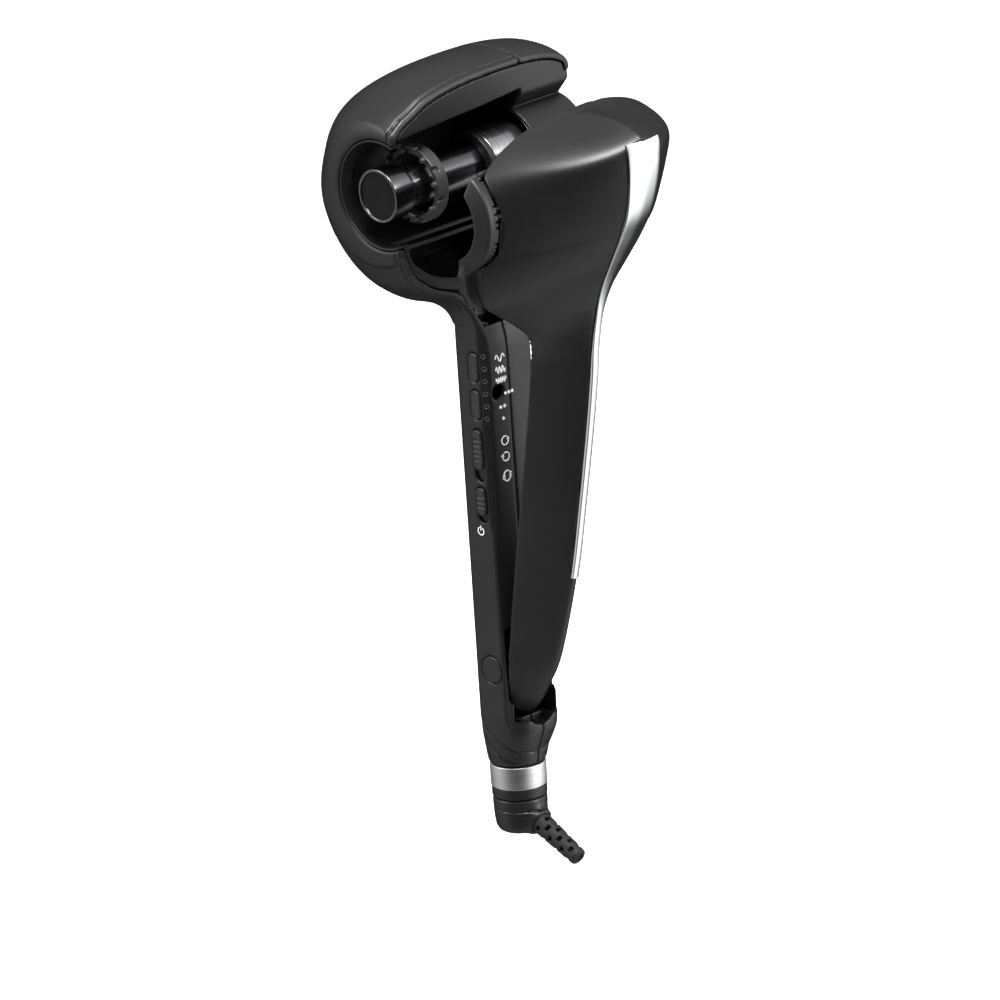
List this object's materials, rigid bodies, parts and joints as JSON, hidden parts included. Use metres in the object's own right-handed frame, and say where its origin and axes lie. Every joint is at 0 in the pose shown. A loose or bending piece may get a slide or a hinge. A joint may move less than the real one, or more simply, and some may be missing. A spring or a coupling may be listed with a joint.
{
  "type": "automatic hair curler",
  "caption": "Automatic hair curler: sprung clamp arms with a large round head, heated barrel, rotating winding hook, thumb controls and a swivelling cord exit.",
  "frame": {"origin": "centre of the bounding box's bottom face, with the lid open as at rest", "axes": "+Z along the handle to the head, +X towards the lid side, -Y towards the curl outlet"},
  "size_m": [0.1398, 0.0954, 0.3039],
  "materials": {
    "base_black": "soft-touch matt black",
    "lid_black": "soft-touch matt black",
    "inner_black": "moulded black",
    "lid_inner": "moulded black",
    "trim_black": "fine satin black",
    "button_black": "satin black",
    "barrel": "polished dark coating",
    "sleeve_chrome": "polished",
    "strip_chrome": "mirror",
    "collar_steel": "brushed round the axis",
    "rotor_grey": "heat-resistant dark grey",
    "gear_plastic": "natural moulded",
    "heater_ceramic": "fired",
    "hidden_steel": "plain",
    "brass": "turned",
    "circuit_board": "solder mask",
    "light_guide": "clear moulded",
    "relief_rubber": "matt moulded"
  },
  "bodies": {
    "housing": {"base_front_shell": "base_black", "base_rear_shell": "base_black", "chamber_liner": "inner_black", "outlet_ring": "trim_black", "rear_cover": "trim_black", "hub_cover": "trim_black", "barrel_tube": "barrel", "barrel_end_cap": "barrel", "barrel_sleeve": "sleeve_chrome", "heater_core": "heater_ceramic", "thermostat": "hidden_steel", "barrel_mount": "heater_ceramic", "motor_body": "hidden_steel", "gear_bracket": "hidden_steel", "main_board": "circuit_board", "lid_microswitch": "trim_black", "light_guide": "light_guide", "hinge_pin": "hidden_steel", "hinge_pin_cap": "base_black", "torsion_spring": "hidden_steel", "collar_core": "trim_black", "collar_ring": "collar_steel", "swivel_collar": "trim_black", "handle_screw_1": "hidden_steel", "handle_screw_2": "hidden_steel"},
    "rotor": {"rotor_ring": "rotor_grey", "rotor_gear": "gear_plastic"},
    "idler": {"idler_gear": "gear_plastic"},
    "pinion": {"motor_pinion": "brass"},
    "lid": {"lid_shell": "lid_black", "lid_liner": "lid_inner", "lid_cover": "lid_inner", "chrome_strip": "strip_chrome", "lid_plunger": "trim_black", "lid_screw_1": "hidden_steel", "lid_screw_2": "hidden_steel"},
    "timer_key": {"timer_button": "button_black"},
    "heat_key": {"heat_button": "button_black"},
    "turn_switch": {"turn_slider": "button_black"},
    "power_switch": {"power_slider": "button_black"},
    "cord_exit": {"swivel_elbow": "trim_black", "strain_relief": "relief_rubber"}
  },
  "joints": [
    {"name": "lid_hinge", "type": "hinge", "parent": "housing", "child": "lid", "pos_m": [-0.01648, 0.0019, 0.07429], "axis": [0, 1, 0], "range_deg": [-11, 0], "stiffness_Nm_per_rad": 1, "springref_deg": 20.05},
    {"name": "rotor_spin", "type": "hinge", "parent": "housing", "child": "rotor", "pos_m": [-0.02328, -0.0251, 0.26489], "axis": [0, 1, 0], "continuous": true},
    {"name": "idler_spin", "type": "hinge", "parent": "housing", "child": "idler", "pos_m": [-0.04958, 0.0261, 0.25529], "axis": [0, 1, 0], "continuous": true},
    {"name": "pinion_spin", "type": "hinge", "parent": "housing", "child": "pinion", "pos_m": [-0.0436, 0.0261, 0.23874], "axis": [0, 1, 0], "continuous": true},
    {"name": "timer_press", "type": "slide", "parent": "housing", "child": "timer_key", "axis": [0, 1, 0], "range_m": [0, 0.0006], "stiffness_N_per_m": 600, "springref_m": -0.001},
    {"name": "heat_press", "type": "slide", "parent": "housing", "child": "heat_key", "axis": [0, 1, 0], "range_m": [0, 0.0006], "stiffness_N_per_m": 600, "springref_m": -0.001},
    {"name": "turn_slide", "type": "slide", "parent": "housing", "child": "turn_switch", "axis": [0, 0, 1], "range_m": [-0.0042, 0]},
    {"name": "power_slide", "type": "slide", "parent": "housing", "child": "power_switch", "axis": [0, 0, 1], "range_m": [-0.0022, 0]},
    {"name": "cord_swivel", "type": "hinge", "parent": "housing", "child": "cord_exit", "pos_m": [-0.01888, 0.0019, 0.02869], "axis": [0, 0, 1], "continuous": true}
  ],
  "couplings": [
    {"joint": "idler_spin", "follows": "rotor_spin", "ratio": -1.0588},
    {"joint": "pinion_spin", "follows": "rotor_spin", "ratio": 3.6}
  ]
}
